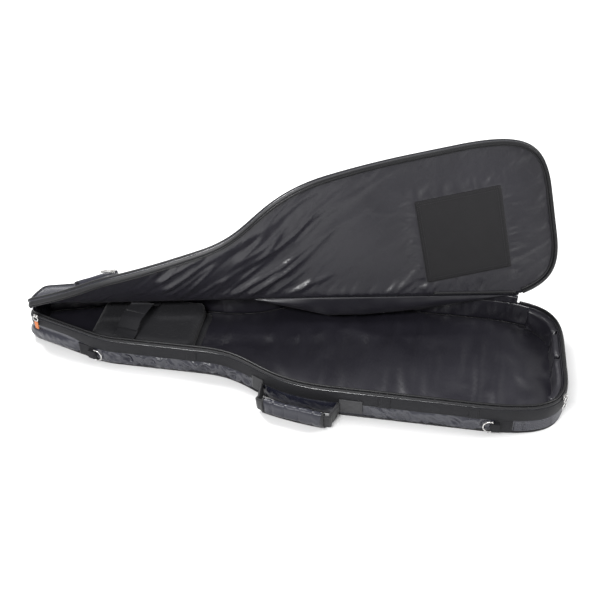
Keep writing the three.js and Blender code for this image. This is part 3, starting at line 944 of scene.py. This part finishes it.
def box_distance(points, low, high):
    gap = np.maximum(low - points, points - high)
    return np.linalg.norm(np.maximum(gap, 0), axis=1) + np.minimum(gap.max(1), 0)


def slanted(h, n, lean, long_period, short_period):
    """Noise points stretched along a direction that leans this far from the fold line."""
    along = h * math.cos(lean) + n * math.sin(lean)
    across = -h * math.sin(lean) + n * math.cos(lean)
    wander = 15 * smooth_noise(np.column_stack([h, n, np.zeros(len(h))]) / 140, 19)
    return np.column_stack([along / long_period, (across + wander) / short_period, np.zeros(len(h))])


def patch_tucks(flat):
    gap = np.maximum(PATCH_LOW - flat, flat - PATCH_HIGH)
    beside = gap[:, 0] > gap[:, 1]
    place = np.where(beside, flat[:, 1], flat[:, 0])
    away = box_distance(flat, PATCH_LOW, PATCH_HIGH)
    lines = ridges(np.column_stack([place / 9, away / 70, beside * 5.0]), 15)
    return lines * smoothstep(away, -1, 5) * (1 - smoothstep(away, 8, 42))


def make_lid_pad():
    """The lid's padding between its outer nylon and its lining, which hangs in folds when the lid is up."""
    flat, triangles, border = region(lid_polygon(), 5)
    h, n = hinge_coordinates(flat)
    away = border_distance(flat, border)
    long_folds = np.clip(ridges(slanted(h, n, FOLD_LEAN, 330, 44), 12), 0, 1) ** 2.5
    thin_folds = np.clip(ridges(slanted(h, n, FOLD_LEAN + 0.12, 240, 24), 23), 0, 1) ** 3
    waves = smooth_noise(slanted(h, n, 0.9, 130, 62), 13)
    small = smooth_noise(slanted(h, n, 1.0, 70, 17), 24)
    gathers = ridges(slanted(h, n, 0.95, 90, 10), 14)
    gathers = gathers * smoothstep(away, 1, 7) * (1 - smoothstep(away, 10, 46))
    neck_share = 0.12 + 0.88 * (1 - smoothstep(h, 520, 760))
    free = smoothstep(away, 0, 24)
    patch_gap = box_distance(flat, PATCH_LOW, PATCH_HIGH)
    open_cloth = free * smoothstep(patch_gap, 0, 22)
    folds = neck_share * (9.5 * long_folds + 4.8 * thin_folds - 2.5)
    offset = open_cloth * (folds + 2.6 * waves + 1.1 * small)
    closed = raised(flat, LID_LINING_HEIGHT)
    lower = raised(flat, LID_LINING_HEIGHT - offset)
    base = opened(closed)
    inward = opened(closed - [0, 0, 1]) - base
    held = np.nonzero((away < 6) | (patch_gap < 4))[0]
    soft = draped(opened(lower), triangles, held, 0.006, 20, stiffness=12, bending=1.5, gravity=0.3)
    depth = 0.35 * ((soft - base) * inward).sum(1) + 0.65 * offset
    depth += 1.5 * gathers + 1.7 * patch_tucks(flat)
    strap_side = smoothstep(np.abs(flat[:, 0] - STRAP_X), 48, 90)
    depth = limited(depth, 5.0, 0.6 + 9.9 * strap_side)
    bottom = raised(flat, LID_LINING_HEIGHT - depth)
    swell = 2.0 * smoothstep(away, 0, 30)
    swell += 1.4 * smooth_noise(raised(flat, 0) / 50, 16) * smoothstep(away, 0, 20)
    points, faces, kinds = pad_mesh(triangles, border, raised(flat, 93.4 + swell), bottom, 2, 0.6)
    return mesh_object("lid_pad", points, faces, [NYLON, LINING], kinds)


lid_pad = lid(make_lid_pad(), "outer_nylon", *(f"lid_panel_{place}" for place in LID_PLACES))

lid_run = run(ZIP_START + 3, ZIP_END - 3, 4)
lid_gusset = edge_loft("lid_gusset", lid_run, rounded_box((1.4, 77.6), (8.2, 87.2), 2.8, 4), BINDING)
lid(lid_gusset, "webbing", *(f"lid_gusset_{place}" for place in LID_PLACES))
lid(edge_loft("lid_inner_binding", lid_run, circle(10.4, 85.0, 3.3), BINDING), "webbing")
lid(edge_loft("lid_outer_piping", lid_run, circle(2.0, 92.4, 3.0), BINDING), "webbing")
lower_binding = tube("lid_lower_binding", hinge_row(905, hinge_length - 14, 4.2, 86.4), 3.4, BINDING, 12)
lid(lower_binding, "webbing")
lid_coil = make_coil("zip_coil_lid", ZIP_START + 4, ZIP_END - 4, (4.8, 75.1), (9.2, 77.8))
lid(lid_coil, "zip_coil", *(f"zip_coil_upper_{place}" for place in LID_PLACES))


def rectangle(low, high):
    return [(low[0], low[1]), (high[0], low[1]), (high[0], high[1]), (low[0], high[1])]


def filled_line(points, step):
    """A line through corner points, with a point at about every step."""
    rows = []
    for a, b in zip(points, points[1:]):
        t = np.linspace(0, 1, max(2, int(math.dist(a, b) / step)), endpoint=False)[:, None]
        rows.append(np.array(a, float) * (1 - t) + np.array(b, float) * t)
    return np.vstack(rows + [np.array([points[-1]], float)])


def make_patch():
    flat, triangles, border = region(rectangle(PATCH_LOW, PATCH_HIGH), 6)
    away = border_distance(flat, border)
    ripple = 0.8 * smooth_noise(raised(flat, 0) / 26, 17) * smoothstep(away, 0, 18)
    lower = raised(flat, 85.3 - 0.5 * smoothstep(away, 4, 9) - ripple)
    points, faces, _ = pad_mesh(triangles, border, raised(flat, 87.2), lower, 1, 0.3)
    return mesh_object("lining_patch_cloth", points, faces, PATCH)


lid(make_patch(), "patch_cloth", "lining_patch")
patch_rows = []
for inset in (4, 9):
    corners = rectangle(PATCH_LOW + inset, PATCH_HIGH - inset)
    path = raised(filled_line(corners + corners[:1], 6), 84.9)
    patch_rows.append(stitches("row", path, np.tile([0.0, 0.0, -1.0], (len(path), 1)), THREAD, 4.2))
lid(joined("patch_stitches", patch_rows), "patch_cloth")

# ---------- lid: outside pockets ----------


def make_main_pocket():
    edge = EDGE.at(run(EDGE.near_station(90), EDGE.tail + 150, 7), 24)
    h, n = hinge_coordinates(edge)
    edge = edge[(n > 62) & (h > 665)]
    last = hinge_coordinates(edge[-1:])[0][0]
    ends = [HINGE_TIP + value * ALONG + 62 * NEARWARD for value in (last, 665)]
    return cushion("main_pocket_pad", np.vstack([edge, ends]), *POCKET_HEIGHTS, NYLON, spacing=10, limit=2.5)


def make_neck_pocket():
    x = run(-468, -362, 6)
    near = EDGE.at([EDGE.near_station(v) for v in x], 10)
    far = np.array([HINGE_TIP + hinge_coordinates([p])[0][0] * ALONG + 14 * NEARWARD for p in near[::-1]])
    return cushion("neck_pocket_pad", np.vstack([near, far]), *POCKET_HEIGHTS, NYLON, spacing=7, limit=2.5)


main_pocket = lid(make_main_pocket(), "outer_nylon", "main_pocket")
neck_pocket = lid(make_neck_pocket(), "outer_nylon", "neck_pocket")

main_span = (EDGE.near_station(112), EDGE.tail + 88)
neck_span = (EDGE.near_station(-466), EDGE.near_station(-364))
lid(make_coil("main_pocket_coil", *main_span, (21.6, 104), (24.4, 110)), "zip_coil", "main_pocket_zip")
lid(make_coil("neck_pocket_coil", *neck_span, (7.8, 103), (10.4, 109)), "zip_coil", "neck_pocket_zip")

# ---------- lining that droops below the fold ----------


def make_droop():
    h = run(500, 1100, 6)
    depth = np.interp(h, [500, 580, 667, 750, 832, 915, 989, 1050, 1100], [1, 25, 50, 50, 42, 30, 16, 6, 1])
    rows = []
    for value, fall in zip(h, depth):
        t = np.linspace(0, 1, 14)
        folds = 2.4 * smooth_noise(np.column_stack([np.full(14, value / 46), t * 1.3, np.zeros(14)]), 18)
        near = 2.5 + 5 * np.sin(np.pi * t) * min(1, fall / 20) + folds * np.sin(np.pi * t)
        z = 90 - fall * t
        front = np.column_stack([near, z])
        back = np.column_stack([near[::-1] - 3.5, z[::-1] + 1.0])
        plan = HINGE_TIP + value * ALONG
        section = np.vstack([front, back])
        rows.append(np.column_stack([plan + section[:, :1] * NEARWARD, section[:, 1]]))
    return loft("lining_droop", np.array(rows), LINING)


droop = tray(make_droop(), "lining_satin")

# ---------- neck rest and strap ----------


rest_plan = rounded_box((-444, -80), (-200, 80), 12, 5)
rest_base = cushion("neck_rest_layer", rest_plan, 14.6, 24.5, PADDING, spacing=7, edge=3, limit=1.6)
block_plan = rounded_box((-440, -77), (-214, 77), 14, 5)
rest_block = cushion("neck_rest_pad", block_plan, 24.6, 60, PADDING, spacing=7, edge=7, limit=3)
for piece, node in ((rest_base, "neck_rest_base"), (rest_block, "neck_rest_block")):
    tray(piece, "padding", node)

STRAP_PLACE = np.array([STRAP_X, -8.0])
STRAP_TURN = -0.19
STRAP_WIDTH, STRAP_THICKNESS = 48, 2.2
STRAP_ACROSS = np.array([-math.sin(STRAP_TURN), math.cos(STRAP_TURN)])
STRAP_ALONG = np.array([math.cos(STRAP_TURN), math.sin(STRAP_TURN)])


def left_of(line):
    """Unit normals to the left of a plane line."""
    ahead = unit(np.gradient(line, axis=0))
    return np.column_stack([-ahead[:, 1], ahead[:, 0]])


def smoothed(points, step=3):
    """A smooth line through control points, by distance."""
    p = np.asarray(points, float)
    ends = np.vstack([2 * p[0] - p[1], p, 2 * p[-1] - p[-2]])
    rows = []
    for a, b, c, d in zip(ends, ends[1:], ends[2:], ends[3:]):
        count = max(2, int(np.linalg.norm(c - b) / step))
        t = np.linspace(0, 1, count, endpoint=False)[:, None]
        square, cube = 2 * a - 5 * b + 4 * c - d, 3 * b - a - 3 * c + d
        rows.append(0.5 * ((2 * b) + (c - a) * t + square * t**2 + cube * t**3))
    return np.vstack(rows + [p[-1:]])


def strap_piece(place, body, line):
    """One stretch of the strap, from a line of (distance across the neck, height) points."""
    line = smoothed(line)
    up = left_of(line)
    box = rounded_box((-STRAP_WIDTH / 2, 0.0), (STRAP_WIDTH / 2, STRAP_THICKNESS), 0.8, 2)
    rows = []
    for spot, normal in zip(line, up):
        profile = spot + box[:, 1:] * normal
        plan = STRAP_PLACE + profile[:, :1] * STRAP_ACROSS + box[:, :1] * STRAP_ALONG
        rows.append(np.column_stack([plan, profile[:, 1]]))
    riding(loft(f"strap_{place}", rows, WEBBING), body, "webbing", f"neck_strap_{place}")


REST_TOP = 61
strap_piece("near", "tray", [(-74, REST_TOP), (-62, REST_TOP), (-48, 67), (-36, 76.5)])
strap_piece("arch", "tray", [(-12.5, 84), (14, 84), (28, 81), (38, 70), (50, REST_TOP + 0.6), (62, REST_TOP)])
strap_piece("flap", "neck_strap_flap", [(-54, 68), (-43, 76), (-30, 83), (-13, 84)])

# ---------- tail bumpers ----------


def make_bumper(name, start, end):
    stations = run(EDGE.tail + start, EDGE.tail + end, 6)
    outer, inner = EDGE.at(stations, 13), EDGE.at(stations, 26)
    low, high = 15.0, 68.5
    z = run(low, high, 6)
    rows = []
    for front, back in zip(inner, outer):
        middle = (front + back) / 2
        loop = [(*front, v) for v in z] + [(*middle, high)]
        rows.append(loop + [(*back, v) for v in z[::-1]] + [(*middle, low)])
    sections = np.array(rows)
    rows, columns = sections.shape[:2]
    points = sections.reshape(-1, 3)
    points = points + 0.7 * smooth_noise(points / 24, 20)[:, None] * [0.7, 0.7, 0.2]
    faces = loft_faces(rows, columns, False)
    first_back = len(z) + 1
    held = [i * columns + k for i in range(rows) for k in range(first_back, first_back + len(z))]
    soft = draped(points, faces, held, 0.05, 16, gravity=0.4, pressure=2.0)
    piece = mesh_object(f"bumper_{name}", capped(points, soft, 4.5), faces, LINING)
    return tray(piece, "padding", f"tail_bumper_{name}")


for name, start, end in (("near", -152, -8), ("middle", 2, 76), ("far", 86, 200)):
    make_bumper(name, start, end)

# ---------- sewn pieces on the outside ----------


def wall_plate(name, start, end, low, high, outer, inner, material=WEBBING):
    return edge_loft(name, run(start, end, 3), rounded_box((outer, low), (inner, high), 0.8, 2), material)


def wall_line(points, inset, step=2.0):
    """A path and its outward directions over the wall, from (station, height) corners."""
    line = filled_line(points, step)
    return raised(EDGE.at(line[:, 0], inset), line[:, 1]), raised(EDGE.normal(line[:, 0]), 0.0)


def stitched(name, lines, inset, pitch=3.4, thread=THREAD):
    rows = [stitches("row", *wall_line(line, inset), thread, pitch, 2.4, 0.45) for line in lines]
    return joined(name, rows)


for side, (start, end) in ANCHORS.items():
    plate = wall_plate(f"anchor_{side}", start, end, 14, 48, -2.9, -0.3, GREY_WEBBING)
    a, b, c, d = rectangle((start + 4, 18), (end - 4, 44))
    seams = stitched("row", [[a, b, c, d, a], [a, c], [d, b]], -3.1)
    tray(joined(f"anchor_{side}", [plate, seams]), "webbing", f"handle_anchor_{side}")

for place, centre, half in (("body", BAND_BODY, 18), ("neck", BAND_NECK, 20)):
    plate = wall_plate(f"ring_band_{place}", centre - half, centre + half, 7.2, 35.8, -0.6, 1.8)
    lines = [[(edge, 10), (edge, 33)] for edge in (centre - half + 3, centre + half - 3)]
    seams = stitched("row", lines, -0.8)
    tray(joined(f"ring_band_{place}", [plate, seams]), "webbing", f"d_ring_band_{place}")


def make_tail_guard():
    stations = run(GUARD_START, EDGE.perimeter - GUARD_START, 4)
    z = np.linspace(7.4, 35.6, 49)
    ribs = -0.5 + 0.85 * np.abs(np.sin((z - 7.4) / 28.2 * math.pi * 6))
    outer = np.column_stack([0.4 - ribs, z])
    section = np.vstack([outer, [[2.0, 35.6], [2.0, 7.4]]])
    guard = edge_loft("guard", stations, section, NYLON)
    end = EDGE.perimeter - GUARD_START
    pairs = (station + offset for station in np.arange(GUARD_START + 16, end - 10, 62) for offset in (0, 3.4))
    lines = [[(station, 8.5), (station, 34.5)] for station in pairs]
    rows = [[(GUARD_START + 4, z), (end - 4, z)] for z in (11.7, 16.4, 21.1, 25.8, 30.5)]
    seams = [stitched("row", lines, -0.75), stitched("row", rows, -0.25, 4.2, LIGHT_THREAD)]
    return joined("ribbed_guard", [guard, *seams])


tray(make_tail_guard(), "webbing", "tail_guard")


def wall_frame(station, outward, height):
    """Origin, along and outward at a place on the wall."""
    origin = np.array([*EDGE.at([station], -outward)[0], height])
    out = np.array([*EDGE.normal([station])[0], 0])
    along = np.cross([0, 0, 1.0], out)
    return origin, along, out


def make_d_ring(place, band, half, direction):
    origin, along, out = wall_frame(band + direction * (half + 4), 4.8, 21)
    along = along * direction
    bend = 13.4
    turn = np.linspace(-math.pi / 2, math.pi / 2, 25)
    arc = np.column_stack([5.4 + bend * np.cos(turn), bend * np.sin(turn)])
    bar = np.column_stack([np.zeros(9), np.linspace(bend, -bend, 9)])
    corner = 1.6
    path = np.vstack([arc, [[corner, bend]], bar[1:-1], [[corner, -bend]]])
    points = origin + path[:, :1] * along + path[:, 1:] * np.array([0, 0, 1.0])
    ring = tube(f"d_ring_wire_{place}", points, 1.7, NICKEL, 12, True)
    riding(ring, f"d_ring_{place}", "nickel", f"d_ring_{place}")


make_d_ring("neck", BAND_NECK, 20, 1)
make_d_ring("body", BAND_BODY, 18, -1)

# ---------- handle ----------

GRIP_LENGTH, WEB_WIDTH, WEB_BOW, WEB_SPLAY = 132, 34, 43, 18


def handle_frame():
    ends = [EDGE.at([EDGE.near_station(x)], -6)[0] for x in HANDLE_ENDS]
    chord = ends[1] - ends[0]
    span = np.linalg.norm(chord)
    x_axis = np.array([*chord / span, 0])
    droop = 0.17
    level = np.cross([0, 0, 1.0], x_axis)
    y_axis = level * math.cos(droop) + np.array([0, 0, 1.0]) * math.sin(droop)
    z_axis = np.cross(x_axis, y_axis)
    origin = np.array([*ends[0], 31.0])
    return origin, np.column_stack([x_axis, y_axis, z_axis]), span


HANDLE_ORIGIN, HANDLE_AXES, HANDLE_SPAN = handle_frame()


def in_handle(points):
    return HANDLE_ORIGIN + np.asarray(points, float) @ HANDLE_AXES.T


def make_handle_web():
    """Both legs and the core: webbing that is a few millimetres narrower where the anchors hold it."""
    leg = [(0, 0), (WEB_SPLAY / 3, -WEB_BOW * 0.7), (WEB_SPLAY, -WEB_BOW)]
    other = [(HANDLE_SPAN - x, y) for x, y in leg[::-1]]
    line = smoothed(leg + other, 3)
    rows = []
    for spot, normal in zip(line, left_of(line)):
        reach = float(smoothstep(-spot[1], 4, WEB_BOW))
        half = WEB_WIDTH / 2
        box = rounded_box((-1.5, -half - 1.5 * reach), (3.5, half - 3 * (1 - reach)), 2.2, 3)
        rows.append(in_handle(np.column_stack([spot + box[:, :1] * normal, box[:, 1]])))
    return loft("handle_web", rows, BINDING)


CREASES = (22, 49, 80, 108)


def make_grip():
    """Stuffed nylon sleeve: flat oval, with a few creases across it and puckers between them."""
    start = (HANDLE_SPAN - GRIP_LENGTH) / 2
    turn = full_turn(56)
    rows = []
    for value in run(0, GRIP_LENGTH, 2):
        end = min(value, GRIP_LENGTH - value)
        grow = 0.7 + 0.3 * float(smoothstep(end, 0, 12))
        crease = sum(math.exp(-(((value - c) / 2.2) ** 2)) for c in CREASES)
        c, s = np.cos(turn), np.sin(turn)
        y = np.sign(c) * np.abs(c) ** 0.9 * (9.8 * grow - 1.6 * crease)
        z = np.sign(s) * np.abs(s) ** 0.85 * (20.5 * (0.94 + 0.06 * grow) - 0.8 * crease)
        points = np.column_stack([np.full(len(turn), value), y, z])
        lump = ridges(points / [26, 14, 20], 21) * 1.1 + smooth_noise(points / [34, 20, 24], 22) * 1.2
        points[:, 1:] += unit(points[:, 1:]) * lump[:, None] * float(smoothstep(end, 0, 12))
        points[:, 0] += start
        points[:, 1] -= WEB_BOW - 1.5
        rows.append(in_handle(points))
    return loft("grip_sleeve", rows, SMOOTH_NYLON)


def make_grip_binding():
    """Black roll round the grip's lower edge, up both ends and out along the legs."""
    start = (HANDLE_SPAN - GRIP_LENGTH) / 2
    end = start + GRIP_LENGTH
    low, out = -18.2, -WEB_BOW + 1.5
    path = [
        (1, -5, -13), (WEB_SPLAY * 0.35, -24, -18), (start - 2, out, low), (start + 24, out - 3, low - 1),
        ((start + end) / 2, out - 4, low - 1.5), (end - 24, out - 3, low - 1), (end + 2, out, low),
        (HANDLE_SPAN - WEB_SPLAY * 0.35, -24, -18), (HANDLE_SPAN - 1, -5, -13),
    ]
    lower = tube("grip_binding", in_handle(smoothed(path, 4)), 3.6, BINDING, 12)
    ends = []
    for x in (start + 1.5, end - 1.5):
        turn = full_turn(40)
        ring = np.column_stack([np.full(40, x), out + 8.2 * np.cos(turn), 19.5 * np.sin(turn)])
        ends.append(tube("cuff", in_handle(ring), 2.8, BINDING, 10, True))
    return joined("grip_binding", [lower, *ends])


riding(make_handle_web(), "handle", "webbing", "handle_webbing")
grip = riding(make_grip(), "handle", "outer_nylon", "handle_grip")
riding(make_grip_binding(), "handle", "webbing")

# ---------- finishes of the CAD pieces that stay ----------

KEPT = {
    NICKEL: (
        "tip_slider", "tail_slider", "main_pocket_slider", "main_pocket_pull", "neck_pocket_slider",
        "neck_pocket_pull", "tip_link", "tail_pull_link", "tail_pull_ring",
    ),
    LEATHER: ("tip_tag",),
    RUBBER: ("badge_blank",),
    WEBBING: ("d_ring_tab_body", "d_ring_tab_neck"),
}
for name, finish in ((name, finish) for finish, names in KEPT.items() for name in names):
    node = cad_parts[name]
    node.data.materials.clear()
    node.data.materials.append(finish)
    weld = node.modifiers.new("Weld", "WELD")
    weld.merge_threshold = 0.00002
    soften = node.modifiers.new("Bevel", "BEVEL")
    soften.width = 0.0005
    soften.segments = 3
    soften.limit_method = "ANGLE"
    node.data.polygons.foreach_set("use_smooth", [True] * len(node.data.polygons))

# ---------- floor, light and camera ----------


def lamp(name, place, aim, size, power, tint=(1, 1, 1)):
    data = bpy.data.lights.new(name, "AREA")
    data.shape = "RECTANGLE"
    data.size, data.size_y = size
    data.energy = power
    data.color = tint
    obj = bpy.data.objects.new(name, data)
    obj.location = place
    obj.rotation_euler = (Vector(aim) - Vector(place)).to_track_quat("-Z", "Y").to_euler()
    bpy.context.scene.collection.objects.link(obj)


FLOOR_REACH, FLOOR_LEVEL = 12, -0.0005
floor_data = bpy.data.meshes.new("studio_floor")
floor_corners = rectangle((-FLOOR_REACH, -FLOOR_REACH), (FLOOR_REACH, FLOOR_REACH))
floor_data.from_pydata([(x, y, FLOOR_LEVEL) for x, y in floor_corners], [], [(0, 1, 2, 3)])
floor = bpy.data.objects.new("studio_floor", floor_data)
bpy.context.scene.collection.objects.link(floor)
paper = bpy.data.materials.new("studio_paper")
paper.use_nodes = True
paper.node_tree.nodes["Principled BSDF"].inputs["Base Color"].default_value = (0.9, 0.9, 0.9, 1)
paper.node_tree.nodes["Principled BSDF"].inputs["Roughness"].default_value = 0.9
floor_data.materials.append(paper)

world = bpy.data.worlds.new("studio")
world.use_nodes = True
world.node_tree.nodes["Background"].inputs["Color"].default_value = (1, 1, 1, 1)
world.node_tree.nodes["Background"].inputs["Strength"].default_value = 0.5
bpy.context.scene.world = world
bpy.context.scene.view_settings.view_transform = "Standard"

lamp("key", (-1.5, 1.3, 2.6), (0, 0, 0.1), (1.0, 1.0), 110)
lamp("side", (2.4, 0.3, 1.9), (0.2, 0, 0.1), (0.7, 1.2), 40)
lamp("front", (-0.5, -2.3, 2.4), (0, 0, 0.1), (1.1, 0.35), 80)

camera_data = bpy.data.cameras.new("camera")
camera_data.lens = 54
camera_data.sensor_width = 36
camera = bpy.data.objects.new("camera", camera_data)
bpy.context.scene.collection.objects.link(camera)
bpy.context.scene.camera = camera
target = Vector((0.00485, 0.08725, 0.080))
turn, tilt, distance = math.radians(-9.235), math.radians(37.86), 2.04683
forward = Vector((math.sin(turn) * math.cos(tilt), math.cos(turn) * math.cos(tilt), -math.sin(tilt)))
camera.location = target - forward * distance
camera.rotation_euler = forward.to_track_quat("-Z", "Y").to_euler()
